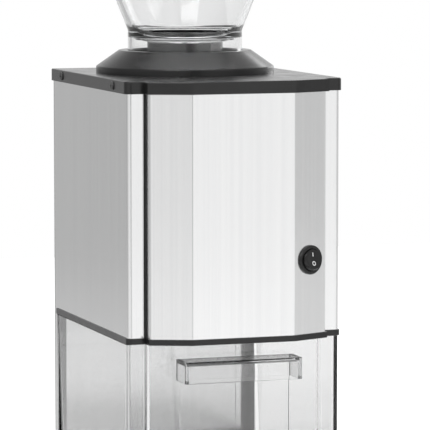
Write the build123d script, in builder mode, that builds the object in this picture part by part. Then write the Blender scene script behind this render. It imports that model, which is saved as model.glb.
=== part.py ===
"""Electric ice crusher: steel cabinet, clear hopper on top, clear drawer below.

Frame: origin at the middle of the footprint on the table, +Z up, the front with
the switch and the drawer's handle faces -Y. Millimetres.
"""

from build123d import *
import math
import os

os.makedirs("parts", exist_ok=True)

# ---------------------------------------------------------------- clearances
fit_gap = 0.05          # radial, round pieces that fit or run in each other
seat_gap = 0.3          # between pieces that lie on each other's seat
join_gap = 0.1          # between sheets and strips of one body

# ---------------------------------------------------------------- cabinet, in plan
body_width = 178.0      # across the side panels
housing_depth = 212.0   # faces of the front pillars to the back panel
sheet = 1.0             # thickness of the steel
facet_lead = 22.1       # middle facet of the front, ahead of the pillars
pillar_width = 13.9     # side of the cabinet to the seam
seam_gap = 1.2          # seam between the front panel and a pillar
side_facet = 31.4       # width of a side facet, seen from the front
panel_lead = 9.5        # outer ends of the front panel, ahead of the pillars
pillar_return = 10.0    # flange behind each pillar
panel_return = 8.0      # flange of the front panel, behind the pillar faces
rear_flange = 16.0      # flange of a side panel under the back panel
corner_bend = 3.0       # middle radius of the two front bends
edge_bend = 1.0         # middle radius of a pillar's inner bend
panel_bend = 3.0        # middle radius of the front panel's outer bends
facet_bend = 2.0        # middle radius between two facets
strip_width = 8.0       # part of each side that goes on down to the base
post_width = 8.5        # black posts inside the rear corners of the drawer bay
post_depth = 5.5
cover_overhang = 1.9    # top cover beyond the steel
trim_overhang = 1.0     # lower deck and base beyond the steel
gland_proud = 5.0       # cord gland behind the back panel

# ---------------------------------------------------------------- cabinet, in height
foot_height = 4.0
base_height = 16.0
bay_height = 117.4      # drawer bay, base to lower deck
deck_height = 4.6       # lower deck, seen as the lower black trim
housing_height = 203.0  # top of the lower deck to the top of the cover
cover_height = 9.9      # flange of the top cover
cover_plate = 3.0       # thickness of the cover's top

# ---------------------------------------------------------------- hopper and collar
hopper_setback = 126.9  # hopper's axis behind the pillar faces
collar_radius = 73.6
collar_band = 5.0       # upright band at the collar's foot
collar_top_radius = 54.7
collar_height = 18.3
collar_wall = 3.0
ledge_height = 6.0      # seat of the hopper inside the collar
neck_radius = 31.2      # inner neck that the ice falls through
neck_wall = 3.0
neck_height = 24.5
seal_thickness = 2.0
skirt_radius = 47.3     # straight foot of the hopper
hopper_wall = 3.0
kink_height = 34.5      # where the wall starts to flare
flare_height = 95.0     # under the rim
flare_slope = 0.395     # growth of the radius with height
bowl_height = 28.0      # inner edge of the bowl's bottom
rim_width = 2.0
rim_height = 4.0
lid_dome = 7.0
lid_thickness = 2.5
knob_height = 16.4
knob_radius = 15.0
knob_stem = 8.0

# ---------------------------------------------------------------- drawer
drawer_wall = 2.5
drawer_inset = 0.7          # drawer's sides behind the trim's edge
drawer_top_gap = 0.8
drawer_back_gap = 1.0
drawer_rear_angle = 6.0     # lean of the rear wall, degrees
column_width = 14.0         # upright column at each front corner
column_inset = 3.0          # column's face behind the pillars
groove_depth = 1.2
groove_width = 1.8
drawer_corner = 2.0
cavity_corner = 2.0
cavity_foot = 2.5           # rounding of the drawer's inside at the bottom
handle_half = 49.0
handle_drop = 13.3          # handle's top below the lower deck
handle_height = 17.0
handle_wall = 3.2
handle_round = 2.0
recess_half = 46.0
recess_depth = 1.2
step_lead = 1.0             # inside of the front, from the groove
step_slope = 2.0
lean_reach = 20.0           # of the cut behind the leaning rear wall
recess_foot = 12.0
runner_height = 1.5
runner_width = 8.0
runner_inset = 31.0         # runner's middle line from the cabinet's side
runner_setback = 8.0        # runner's front end behind the pillars
runner_length = 170.0

# ---------------------------------------------------------------- crusher
axis_drop = 63.0            # rotor axis below the cover's top
chamber_half_width = 46.0
chamber_half_depth = 40.0
chamber_wall = 4.0
chamber_top_drop = 10.0     # chamber's top below the cover's top
chamber_height = 109.0
bearing_boss_radius = 14.0
bearing_boss = 6.0
bearing_radius = 9.0
bearing_flange = 1.5
shaft_radius = 6.0
hub_radius = 10.0
rotor_radius = 33.0
disc_thickness = 3.0
disc_pitch = 16.0
disc_count = 5
arm_count = 3
comb_bar = 5.0
comb_height = 24.0
comb_reach = 14.0           # comb's tips from the rotor axis
chute_wall = 2.0
chute_foot_half = 35.0      # half width of the chute's outlet

# ---------------------------------------------------------------- drive
motor_setback = 44.5        # motor axis behind the pillar faces
motor_drop = 93.0           # motor axis below the cover's top
motor_radius = 32.0
motor_skin = 1.5
motor_length = 98.0
drive_cap_length = 12.0
rear_cap_length = 6.0
stator_length = 60.0
stator_radius = 21.0
air_gap = 1.0
motor_shaft_radius = 4.0
cap_vent_ring = 22.0        # circle of the cooling holes in the motor's end caps
drive_cap_vents = 6
drive_cap_vent_radius = 5.0
rear_cap_vents = 8
rear_cap_vent_radius = 4.5
ball_radius = 11.0
ball_width = 5.0
coil_head = 8.0             # windings beyond each end of the armature
commutator_radius = 9.0
armature_slots = 12
slot_depth = 6.0
slot_width = 2.2
pole_gap = 14.0             # between the two poles of the stator
fan_radius = 27.0
fan_width = 7.0
fan_blades = 9
first_module = 1.0          # motor pinion and large idler gear
pinion_teeth = 14
idler_teeth = 70
second_module = 1.5         # small idler gear and drive gear
small_teeth = 14
drive_teeth = 49
pressure_angle = math.radians(20)
backlash = 0.16             # tooth thinning on each flank, in modules
gear_width = 6.0
drive_gear_width = 8.0
web_ring = 22.0             # circle of the lightening holes in the drive gear
web_holes = 6
web_hole_radius = 5.0
idler_web_ring = 21.0
idler_web_holes = 5
idler_web_radius = 6.0
plate_thickness = 3.0
gearbox_depth = 29.0
gearbox_wall = 2.5
gear_room = 2.5             # between the largest gear and the gearbox wall
idler_pin_radius = 4.0

# ---------------------------------------------------------------- switch
switch_inset = 16.1         # switch centre from the end of the front panel
switch_drop = 143.7         # switch centre below the cover's top
bezel_radius = 11.75
bezel_height = 2.0
barrel_radius = 10.2
barrel_length = 20.0
rocker_radius = 8.9
rocker_face = 4.0           # rocker's face from its pivot
pivot_depth = 1.2           # pivot behind the bezel's face
rocker_tilt = 12.0          # rocker at rest, "I" pressed in, degrees
switch_pin_radius = 1.0
terminal_length = 9.0

# ---------------------------------------------------------------- small fittings
screw_radius = 2.0
screw_head_radius = 3.4
screw_head = 1.2
plunger_radius = 2.0
plunger_travel = 2.5
gland_inset = 31.0          # gland from the cabinet's side
gland_rise = 26.0           # gland above the lower deck
gland_bore = 3.6
gland_body = 8.0
gland_flange = 10.5
gland_length = 16.0
vent_rise = 90.0            # middle of the slots above the lower deck
vent_gap = 14.0             # between the two columns of slots
vent_rows = 7
vent_columns = 2
vent_width = 3.2
vent_length = 46.0
vent_pitch = 8.0
foot_inset_x = 18.0
foot_inset_back = 22.0
foot_inset_front = 12.0
foot_radius = 9.0
foot_recess = 1.8           # seat of the screw in a foot
rear_screw_inset = 6.0      # screws in the back panel from the cabinet's side
rear_screw_rise = 6.0       # above the base
deck_screw_rise = 5.0       # above the lower deck
side_screw_front = 34.0     # cover screws behind the pillars
side_screw_back = 32.0      # cover screws ahead of the back panel
upstand = 8.0               # walls of the lower deck inside the steel
upstand_wall = 2.5
upstand_setback = 25.0
base_wall = 3.0

# ---------------------------------------------------------------- places that follow
half_width = body_width / 2
panel_half = half_width - pillar_width - seam_gap
facet_half = panel_half - side_facet
front_y = -(cover_overhang + facet_lead + housing_depth + gland_proud) / 2
pillar_y = front_y + cover_overhang + facet_lead
back_y = pillar_y + housing_depth
facet_angle = math.atan2(facet_lead - panel_lead, panel_half - facet_half)

base_bottom_z = foot_height
base_top_z = base_bottom_z + base_height
deck_bottom_z = base_top_z + bay_height
deck_top_z = deck_bottom_z + deck_height
cover_top_z = deck_top_z + housing_height
cover_bottom_z = cover_top_z - cover_height
cover_under_z = cover_top_z - cover_plate
sheet_top_z = cover_under_z - seat_gap

hopper_y = pillar_y + hopper_setback
hopper_axis = Axis((0, hopper_y, 0), (0, 0, 1))
hopper_plane = Plane((0, hopper_y, cover_top_z), x_dir=(1, 0, 0), z_dir=(0, -1, 0))

rotor_z = cover_top_z - axis_drop
motor_y = pillar_y + motor_setback
motor_z = cover_top_z - motor_drop
first_distance = first_module * (pinion_teeth + idler_teeth) / 2
second_distance = second_module * (small_teeth + drive_teeth) / 2


def third_corner(a, b, from_a, from_b):
    """Point at the two given distances from a and b, on the upper side of the line a to b."""
    span = math.hypot(b[0] - a[0], b[1] - a[1])
    along = (from_a**2 - from_b**2 + span**2) / (2 * span)
    rise = math.sqrt(from_a**2 - along**2)
    ux, uy = (b[0] - a[0]) / span, (b[1] - a[1]) / span
    return a[0] + along * ux + rise * uy, a[1] + along * uy - rise * ux


rotor_at = (hopper_y, rotor_z)
motor_at = (motor_y, motor_z)
idler_at = third_corner(rotor_at, motor_at, second_distance, first_distance)


def facet_y(x, over):
    """Y of a side facet at x, its line moved outward by over."""
    return (
        pillar_y
        - panel_lead
        - over / math.cos(facet_angle)
        - (panel_half - x) * math.tan(facet_angle)
    )


def plan_points(over):
    """Corners of the cabinet's outline, grown by over, the step at the seams kept."""
    side = half_width + over
    step = panel_half + over
    right = [
        (side, back_y + over),
        (side, pillar_y - over),
        (step, pillar_y - over),
        (step, facet_y(step, over)),
        (facet_half + over * math.tan(facet_angle / 2), pillar_y - facet_lead - over),
    ]
    left = [(-x, y) for x, y in reversed(right)]
    return right + left


def gear_points(module, teeth, centre, tooth_angle):
    """Outline of a spur gear about centre, one tooth pointing along tooth_angle (radians)."""
    pitch_r = module * teeth / 2
    base_r = pitch_r * math.cos(pressure_angle)
    root_r = pitch_r - 1.25 * module
    tip_r = pitch_r + module
    involute = math.tan(pressure_angle) - pressure_angle
    half_pitch_tooth = math.pi / (2 * teeth) - backlash * module / pitch_r

    def half_angle(radius):
        if radius <= base_r:
            return half_pitch_tooth + involute
        a = math.acos(base_r / radius)
        return half_pitch_tooth + involute - (math.tan(a) - a)

    start_r = max(base_r, root_r)
    steps = 4
    flank = [start_r + (tip_r - start_r) * i / steps for i in range(steps + 1)]
    if root_r < start_r:
        flank = [root_r] + flank
    points = []
    for tooth in range(teeth):
        middle = tooth_angle + 2 * math.pi * tooth / teeth
        rising = [(r, middle - half_angle(r)) for r in flank]
        falling = [(r, middle + half_angle(r)) for r in reversed(flank)]
        for r, a in rising + falling:
            points.append((centre[0] + r * math.cos(a), centre[1] + r * math.sin(a)))
    return points


def direction(a, b):
    """Angle of the line from a to b, in radians."""
    return math.atan2(b[1] - a[1], b[0] - a[0])


def pan_screw(shank):
    """A screw along -Z with a crossed pan head that stands on Z = 0."""
    with BuildPart() as screw:
        with BuildSketch():
            Circle(screw_head_radius)
        extrude(amount=screw_head)
        fillet(screw.edges().group_by(Axis.Z)[-1], radius=screw_head * 0.4)
        with BuildSketch():
            Circle(screw_radius)
        extrude(amount=-shank)
        with BuildSketch(Plane.XY.offset(screw_head)):
            Rectangle(2 * screw_head_radius - 2.0, 0.8)
            Rectangle(0.8, 2 * screw_head_radius - 2.0)
        extrude(amount=-screw_head / 2, mode=Mode.SUBTRACT)
    return screw.part


# ================================================================ cabinet
# Side panels: each one sheet with its front pillar and a flange under the back panel.
pillar_inner = panel_half + seam_gap
side_x = half_width - sheet / 2
return_x = pillar_inner + sheet / 2
flange_y = back_y - sheet - join_gap - sheet / 2
inner_rear_y = flange_y - sheet / 2 - join_gap
side_path = [
    (return_x, pillar_y + pillar_return),
    (return_x, pillar_y + sheet / 2),
    (side_x, pillar_y + sheet / 2),
    (side_x, flange_y),
    (half_width - rear_flange, flange_y),
]

vent_z = deck_top_z + vent_rise
gland_x = -(half_width - gland_inset)
gland_z = deck_top_z + gland_rise
rear_screw_x = half_width - rear_screw_inset
rear_screw_rises = (base_top_z + rear_screw_rise, deck_top_z + deck_screw_rise)
rear_screw_holes = [(x, rise) for rise in rear_screw_rises for x in (-rear_screw_x, rear_screw_x)]

with BuildPart() as right_side:
    with BuildSketch(Plane.XY.offset(base_top_z)):
        with BuildLine():
            FilletPolyline(*side_path, radius=[edge_bend, corner_bend, edge_bend])
        trace(line_width=sheet)
    extrude(amount=sheet_top_z - base_top_z)
    # below the deck only the flange and a narrow strip of the side go on
    with BuildSketch(Plane.XY.offset(base_top_z)):
        with Locations((0, (pillar_y - sheet + back_y - strip_width) / 2)):
            Rectangle(body_width + sheet, housing_depth + sheet - strip_width)
    extrude(amount=deck_top_z - base_top_z, mode=Mode.SUBTRACT)
    with BuildSketch(Plane.XZ.offset(-flange_y)):
        with Locations(*rear_screw_holes):
            Circle(screw_radius + fit_gap)
    extrude(amount=sheet, both=True, mode=Mode.SUBTRACT)
with BuildPart() as left_side:
    add(right_side.part.mirror(Plane.YZ))
for side_name, side_sheet in (("right_side_panel", right_side), ("left_side_panel", left_side)):
    side_sheet.part.label = side_name
    export_step(side_sheet.part, f"parts/{side_name}.step")

# Back panel: flat sheet over the two flanges, with the cooling slots.
with BuildPart() as back_panel:
    with BuildSketch(Plane.XZ.offset(-back_y)):
        with Locations((0, (base_top_z + sheet_top_z) / 2)):
            Rectangle(body_width, sheet_top_z - base_top_z)
        with Locations((0, vent_z)):
            with GridLocations(vent_length + vent_gap, vent_pitch, vent_columns, vent_rows):
                SlotOverall(vent_length, vent_width, mode=Mode.SUBTRACT)
        with Locations((gland_x, gland_z)):
            Circle(gland_body + fit_gap, mode=Mode.SUBTRACT)
        with Locations(*rear_screw_holes):
            Circle(screw_radius + fit_gap, mode=Mode.SUBTRACT)
    extrude(amount=sheet)
back_panel.part.label = "back_panel"
export_step(back_panel.part, "parts/back_panel.step")

# Posts: black columns inside the rear corners that carry the lower deck.
post_screw_reach = 4.0
with BuildPart() as bay_posts:
    with BuildSketch(Plane.XY.offset(base_top_z)):
        for side in (-1, 1):
            with Locations(
                (
                    side * (half_width - sheet - join_gap - post_width / 2),
                    inner_rear_y - post_depth / 2,
                )
            ):
                Rectangle(post_width, post_depth)
    extrude(amount=deck_bottom_z - base_top_z)
    rear_edges = [
        e
        for e in bay_posts.edges().filter_by(Axis.Z)
        if e.center().Y > inner_rear_y - 0.01 and abs(e.center().X) > half_width - sheet - 1.0
    ]
    fillet(rear_edges, radius=edge_bend)
    with BuildSketch(Plane.XZ.offset(-inner_rear_y)):
        with Locations(*[hole for hole in rear_screw_holes if hole[1] < deck_bottom_z]):
            Circle(screw_radius + fit_gap)
    extrude(amount=post_screw_reach + fit_gap, mode=Mode.SUBTRACT)
bay_posts.part.label = "bay_posts"
export_step(bay_posts.part, "parts/bay_posts.step")

# Front panel: three facets, its ends bent back beside the pillars.
switch_x = panel_half - switch_inset
switch_z = cover_top_z - switch_drop
switch_normal = (math.sin(facet_angle), -math.cos(facet_angle), 0)
switch_right = (math.cos(facet_angle), math.sin(facet_angle), 0)
switch_plane = Plane(
    (switch_x, facet_y(switch_x, 0), switch_z), x_dir=switch_right, z_dir=switch_normal
)
panel_end = panel_half - sheet / 2
panel_right = [
    (panel_end, pillar_y + panel_return),
    (panel_end, facet_y(panel_end, -sheet / 2)),
    (
        facet_half - sheet / 2 * math.tan(facet_angle / 2),
        pillar_y - facet_lead + sheet / 2,
    ),
]
panel_path = panel_right + [(-x, y) for x, y in reversed(panel_right)]
panel_radii = [panel_bend, facet_bend, facet_bend, panel_bend]

with BuildPart() as front_panel:
    with BuildSketch(Plane.XY.offset(deck_top_z)):
        with BuildLine():
            FilletPolyline(*panel_path, radius=panel_radii)
        trace(line_width=sheet)
    extrude(amount=sheet_top_z - deck_top_z)
    with BuildSketch(switch_plane):
        Circle(barrel_radius + fit_gap)
    extrude(amount=3 * sheet, both=True, mode=Mode.SUBTRACT)
front_panel.part.label = "front_panel"
export_step(front_panel.part, "parts/front_panel.step")

# Black strips that fill the two seams.
seal_y = pillar_y + panel_return / 2
with BuildPart() as panel_seals:
    with BuildSketch(Plane.XY.offset(deck_top_z)):
        for side in (-1, 1):
            with Locations((side * (panel_half + seam_gap / 2), seal_y)):
                Rectangle(seam_gap - 2 * join_gap, panel_return)
    extrude(amount=cover_bottom_z - join_gap - deck_top_z)
panel_seals.part.label = "panel_seals"
export_step(panel_seals.part, "parts/panel_seals.step")

# Top cover: a black tray upside down over the steel.
cover_corner = corner_bend + sheet / 2 + cover_overhang
cover_rear_corner = 3.0
cover_round = 1.0
side_screw_y = (pillar_y + side_screw_front, back_y - side_screw_back)
side_screw_z = cover_bottom_z + cover_height / 2
plunger_y = hopper_y - (skirt_radius - plunger_radius - 0.5)

with BuildPart() as top_cover:
    with BuildSketch(Plane.XY.offset(cover_bottom_z)):
        Polygon(*plan_points(cover_overhang), align=None)
    extrude(amount=cover_height)
    for facing, radius in ((-1, cover_corner), (1, cover_rear_corner)):
        outer_corners = [
            e
            for e in top_cover.edges().filter_by(Axis.Z)
            if abs(e.center().X) > half_width and e.center().Y * facing > 0
        ]
        fillet(outer_corners, radius=radius)
    fillet(top_cover.faces().sort_by(Axis.Z)[-1].edges(), radius=cover_round)
    with BuildSketch(Plane.XY.offset(cover_bottom_z)) as cover_cavity:
        Polygon(*plan_points(join_gap), align=None)
        front_bends = [v for v in cover_cavity.vertices() if abs(v.X) > half_width and v.Y < 0]
        fillet(front_bends, radius=corner_bend + sheet / 2 + join_gap)
    extrude(amount=cover_height - cover_plate, mode=Mode.SUBTRACT)
    with BuildSketch(Plane.XY.offset(cover_under_z)):
        with Locations((0, hopper_y)):
            Circle(neck_radius + seat_gap)
        with Locations((0, plunger_y)):
            Circle(plunger_radius + 2 * fit_gap)
    extrude(amount=cover_plate, mode=Mode.SUBTRACT)
    with BuildSketch(Plane.YZ):
        with Locations(*[(y, side_screw_z) for y in side_screw_y]):
            Circle(screw_radius + fit_gap)
    extrude(amount=half_width + 2 * cover_overhang, both=True, mode=Mode.SUBTRACT)
top_cover.part.label = "top_cover"
export_step(top_cover.part, "parts/top_cover.step")

# Screws in the cover's side flanges.
cover_screw_seats = [
    Plane((side * (half_width + cover_overhang), y, side_screw_z), z_dir=(side, 0, 0))
    for side in (-1, 1)
    for y in side_screw_y
]
cover_screw = pan_screw(cover_overhang - 2 * join_gap)
with BuildPart() as cover_screws:
    with Locations(*cover_screw_seats):
        add(cover_screw)
cover_screws.part.label = "cover_screws"
export_step(cover_screws.part, "parts/cover_screws.step")

# Lower deck: floor of the housing, its edge shows as the lower black trim.
deck_cut_y = back_y - strip_width - seat_gap
deck_rear_half = half_width - sheet - edge_bend - seat_gap
deck_rear_y = inner_rear_y
outlet_half = chute_foot_half - chute_wall

with BuildPart() as lower_deck:
    with BuildSketch(Plane.XY.offset(deck_bottom_z)):
        Polygon(*plan_points(trim_overhang), align=None)
        with Locations((0, deck_cut_y + strip_width)):
            Rectangle(body_width + 4 * trim_overhang, 2 * strip_width, mode=Mode.SUBTRACT)
        with Locations((0, (deck_cut_y - strip_width + deck_rear_y) / 2)):
            Rectangle(2 * deck_rear_half, deck_rear_y - deck_cut_y + strip_width)
        with Locations((0, hopper_y)):
            Rectangle(2 * outlet_half, 2 * outlet_half, mode=Mode.SUBTRACT)
    extrude(amount=deck_height)
    front_corners = [
        e
        for e in lower_deck.edges().filter_by(Axis.Z)
        if abs(e.center().X) > half_width and e.center().Y < 0
    ]
    fillet(front_corners, radius=corner_bend + trim_overhang)
    # upstands inside the steel at the sides and the back
    with BuildSketch(Plane.XY.offset(deck_top_z)):
        for side in (-1, 1):
            with Locations(
                (side * (half_width - sheet - seat_gap - upstand_wall / 2), (pillar_y + back_y) / 2)
            ):
                Rectangle(upstand_wall, housing_depth - 2 * upstand_setback)
        with Locations((0, deck_rear_y - upstand_wall / 2)):
            Rectangle(2 * deck_rear_half, upstand_wall)
    extrude(amount=upstand)
    with BuildSketch(Plane.XZ.offset(-deck_rear_y)):
        with Locations(*[hole for hole in rear_screw_holes if hole[1] > deck_top_z]):
            Circle(screw_radius + fit_gap)
    extrude(amount=2 * upstand_wall, both=True, mode=Mode.SUBTRACT)
lower_deck.part.label = "lower_deck"
export_step(lower_deck.part, "parts/lower_deck.step")

# Base: black tray under the drawer, hollow from below.
foot_places = [
    (side * (half_width - foot_inset_x), y)
    for side in (-1, 1)
    for y in (pillar_y + foot_inset_front, back_y - foot_inset_back)
]
with BuildPart() as base:
    with BuildSketch(Plane.XY.offset(base_bottom_z)):
        Polygon(*plan_points(trim_overhang), align=None)
    extrude(amount=base_height)
    base_corners = [
        e for e in base.edges().filter_by(Axis.Z) if abs(e.center().X) > half_width
    ]
    fillet(base_corners, radius=corner_bend + trim_overhang)
    fillet(base.faces().sort_by(Axis.Z)[-1].edges(), radius=0.8)
    with BuildSketch(Plane.XY.offset(base_bottom_z)):
        Polygon(*plan_points(trim_overhang - base_wall), align=None)
    extrude(amount=base_height - base_wall, mode=Mode.SUBTRACT)
    with BuildSketch(Plane.XY.offset(base_bottom_z)):
        with Locations(*foot_places):
            Circle(foot_radius)
    extrude(amount=base_height - base_wall)
    with BuildSketch(Plane.XY.offset(base_bottom_z)):
        with Locations(*foot_places):
            Circle(screw_radius + fit_gap)
    extrude(amount=base_height - 2 * base_wall, mode=Mode.SUBTRACT)
base.part.label = "base"
export_step(base.part, "parts/base.step")

# Rubber feet with a recess for the screw head.
with BuildPart() as feet:
    with BuildSketch():
        with Locations(*foot_places):
            Circle(foot_radius - 1.0)
    extrude(amount=foot_height, taper=-10)
    with BuildSketch():
        with Locations(*foot_places):
            Circle(screw_head_radius + 2 * fit_gap)
    extrude(amount=foot_recess, mode=Mode.SUBTRACT)
    with BuildSketch():
        with Locations(*foot_places):
            Circle(screw_radius + fit_gap)
    extrude(amount=foot_height, mode=Mode.SUBTRACT)
feet.part.label = "feet"
export_step(feet.part, "parts/feet.step")

with BuildPart() as foot_screws:
    with BuildSketch(Plane.XY.offset(foot_recess - screw_head)):
        with Locations(*foot_places):
            Circle(screw_head_radius)
    extrude(amount=screw_head)
    with BuildSketch(Plane.XY.offset(foot_recess)):
        with Locations(*foot_places):
            Circle(screw_radius)
    extrude(amount=foot_height + base_height / 3)
foot_screws.part.label = "foot_screws"
export_step(foot_screws.part, "parts/foot_screws.step")

# Screws through the back panel and the flanges into the posts and the lower deck.
rear_screw_seats = [Plane((x, back_y, rise), z_dir=(0, 1, 0)) for x, rise in rear_screw_holes]
rear_screw = pan_screw(back_y - inner_rear_y + post_screw_reach - seat_gap)
with BuildPart() as rear_screws:
    with Locations(*rear_screw_seats):
        add(rear_screw)
rear_screws.part.label = "rear_screws"
export_step(rear_screws.part, "parts/rear_screws.step")

# ================================================================ drawer
drawer_half = half_width + trim_overhang - drawer_inset
drawer_bottom_z = base_top_z + runner_height + join_gap
drawer_top_z = deck_bottom_z - drawer_top_gap
drawer_height = drawer_top_z - drawer_bottom_z
drawer_back_y = back_y - strip_width - drawer_back_gap
drawer_front_y = pillar_y
column_y = pillar_y + column_inset
column_inner = drawer_half - column_width
rear_lean = math.tan(math.radians(drawer_rear_angle))
handle_top_z = deck_bottom_z - handle_drop
handle_bottom_z = handle_top_z - handle_height
handle_front_y = front_y
runner_x = half_width - runner_inset
runner_y = pillar_y + runner_setback + runner_length / 2

# Runners that the drawer slides on.
with BuildPart() as drawer_runners:
    with BuildSketch(Plane.XY.offset(base_top_z)):
        with Locations((-runner_x, runner_y), (runner_x, runner_y)):
            SlotOverall(runner_length, runner_width, rotation=90)
    extrude(amount=runner_height)
drawer_runners.part.label = "drawer_runners"
export_step(drawer_runners.part, "parts/drawer_runners.step")

# Inside of the drawer.
cavity_front = column_y + groove_depth + drawer_wall
cavity_step = column_inner - groove_width - step_lead
cavity_right = [
    (drawer_half - drawer_wall, drawer_back_y - drawer_wall),
    (drawer_half - drawer_wall, cavity_front),
    (cavity_step, cavity_front),
    (cavity_step - step_slope, drawer_front_y + drawer_wall + recess_depth),
]
with BuildPart() as drawer_cavity:
    with BuildSketch(Plane.XY.offset(drawer_bottom_z + drawer_wall)):
        Polygon(*cavity_right, *[(-x, y) for x, y in reversed(cavity_right)], align=None)
    extrude(amount=drawer_height)
    with BuildSketch(Plane.YZ):
        Polygon(
            (drawer_back_y - drawer_wall, drawer_top_z),
            (drawer_back_y + lean_reach, drawer_top_z),
            (drawer_back_y + lean_reach, drawer_bottom_z),
            (drawer_back_y - drawer_wall - drawer_height * rear_lean, drawer_bottom_z),
            align=None,
        )
    extrude(amount=body_width, both=True, mode=Mode.SUBTRACT)
    upright = [
        e
        for e in drawer_cavity.edges()
        if abs(abs(e.center().X) - (drawer_half - drawer_wall)) < 0.01
        and e.length > drawer_height / 2
        and (e @ 0 - e @ 1).Z ** 2 > (e.length * 0.9) ** 2
    ]
    fillet(upright, radius=cavity_corner)
    fillet(drawer_cavity.faces().sort_by(Axis.Z)[0].edges(), radius=cavity_foot)

outer_right = [
    (drawer_half, drawer_back_y),
    (drawer_half, column_y),
    (column_inner, column_y),
    (column_inner - groove_width / 2, column_y + groove_depth),
    (column_inner - groove_width, drawer_front_y),
]
with BuildPart() as drawer:
    with BuildSketch(Plane.XY.offset(drawer_bottom_z)):
        Polygon(*outer_right, *[(-x, y) for x, y in reversed(outer_right)], align=None)
    extrude(amount=drawer_height)
    with BuildSketch(Plane.YZ):
        Polygon(
            (drawer_back_y, drawer_top_z),
            (drawer_back_y + lean_reach, drawer_top_z),
            (drawer_back_y + lean_reach, drawer_bottom_z),
            (drawer_back_y - drawer_height * rear_lean, drawer_bottom_z),
            align=None,
        )
    extrude(amount=body_width, both=True, mode=Mode.SUBTRACT)
    upright = [
        e
        for e in drawer.edges()
        if abs(abs(e.center().X) - drawer_half) < 0.01
        and e.length > drawer_height / 2
        and (e @ 0 - e @ 1).Z ** 2 > (e.length * 0.9) ** 2
    ]
    fillet(upright, radius=drawer_corner)
    fillet(drawer.faces().sort_by(Axis.Z)[0].edges(), radius=1.0)
    add(drawer_cavity.part, mode=Mode.SUBTRACT)
    # shallow field under the handle
    field_bottom = drawer_bottom_z + recess_foot
    with BuildSketch(Plane.XZ.offset(-drawer_front_y)):
        with Locations((0, (field_bottom + handle_bottom_z) / 2)):
            Rectangle(2 * recess_half, handle_bottom_z - field_bottom)
    extrude(amount=-recess_depth, mode=Mode.SUBTRACT)
    # box handle, open at the bottom for the fingers
    with BuildSketch(Plane.XY.offset(handle_bottom_z)):
        with Locations((0, (handle_front_y + drawer_front_y) / 2)):
            Rectangle(2 * handle_half, drawer_front_y - handle_front_y)
    extrude(amount=handle_height)
    handle_edges = [
        e
        for e in drawer.edges()
        if abs(e.center().Y - handle_front_y) < 0.01 and e.center().Z > handle_bottom_z + 0.1
    ]
    fillet(handle_edges, radius=handle_round)
    with BuildSketch(Plane.XY.offset(handle_bottom_z)):
        with Locations((0, (handle_front_y + handle_wall + drawer_front_y) / 2)):
            Rectangle(
                2 * (handle_half - handle_wall), drawer_front_y - handle_front_y - handle_wall
            )
    extrude(amount=handle_height - handle_wall, mode=Mode.SUBTRACT)
drawer.part.label = "drawer"
export_step(drawer.part, "parts/drawer.step")

# ================================================================ collar, hopper, lid
# Collar: black cone on the cover, with the seat of the hopper and the inner neck.
neck_bottom = -(chamber_top_drop - seat_gap)
with BuildPart() as collar:
    with BuildSketch(hopper_plane) as collar_profile:
        with BuildLine():
            Polyline(
                (neck_radius - neck_wall, neck_bottom),
                (neck_radius, neck_bottom),
                (neck_radius, 0),
                (collar_radius, 0),
                (collar_radius, collar_band),
                (collar_top_radius, collar_height),
                (skirt_radius + seat_gap, collar_height),
                (skirt_radius + seat_gap, ledge_height),
                (neck_radius, ledge_height),
                (neck_radius, neck_height),
                (neck_radius - neck_wall, neck_height),
                close=True,
            )
        make_face()
        shoulders = [
            v
            for v in collar_profile.vertices()
            if v.X > collar_top_radius - 1.0 and v.Y > collar_band - 1.0
        ]
        fillet(shoulders, radius=1.5)
    revolve(axis=hopper_axis)
    with BuildSketch(hopper_plane):
        Polygon(
            (skirt_radius + seat_gap + collar_wall, 0),
            (skirt_radius + seat_gap + collar_wall, collar_height - collar_wall - 1.0),
            (collar_top_radius - 1.0, collar_height - collar_wall - 1.0),
            (collar_radius - collar_wall, collar_band - 1.5),
            (collar_radius - collar_wall, 0),
            align=None,
        )
    revolve(axis=hopper_axis, mode=Mode.SUBTRACT)
    with BuildSketch(Plane.XY.offset(cover_top_z)):
        with Locations((0, plunger_y)):
            Circle(plunger_radius + 2 * fit_gap)
    extrude(amount=ledge_height, mode=Mode.SUBTRACT)
collar.part.label = "collar"
export_step(collar.part, "parts/collar.step")

# Soft ring between the collar's ledge and the hopper's foot.
ledge_z = cover_top_z + ledge_height
hopper_foot = ledge_height + seal_thickness
with BuildPart() as hopper_seal:
    with BuildSketch(Plane.XY.offset(ledge_z)):
        with Locations((0, hopper_y)):
            Circle(skirt_radius - fit_gap)
            Circle(skirt_radius - 2 * hopper_wall, mode=Mode.SUBTRACT)
        with Locations((0, plunger_y)):
            Circle(plunger_radius + 2 * fit_gap, mode=Mode.SUBTRACT)
    extrude(amount=seal_thickness - join_gap)
hopper_seal.part.label = "hopper_seal"
export_step(hopper_seal.part, "parts/hopper_seal.step")

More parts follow.
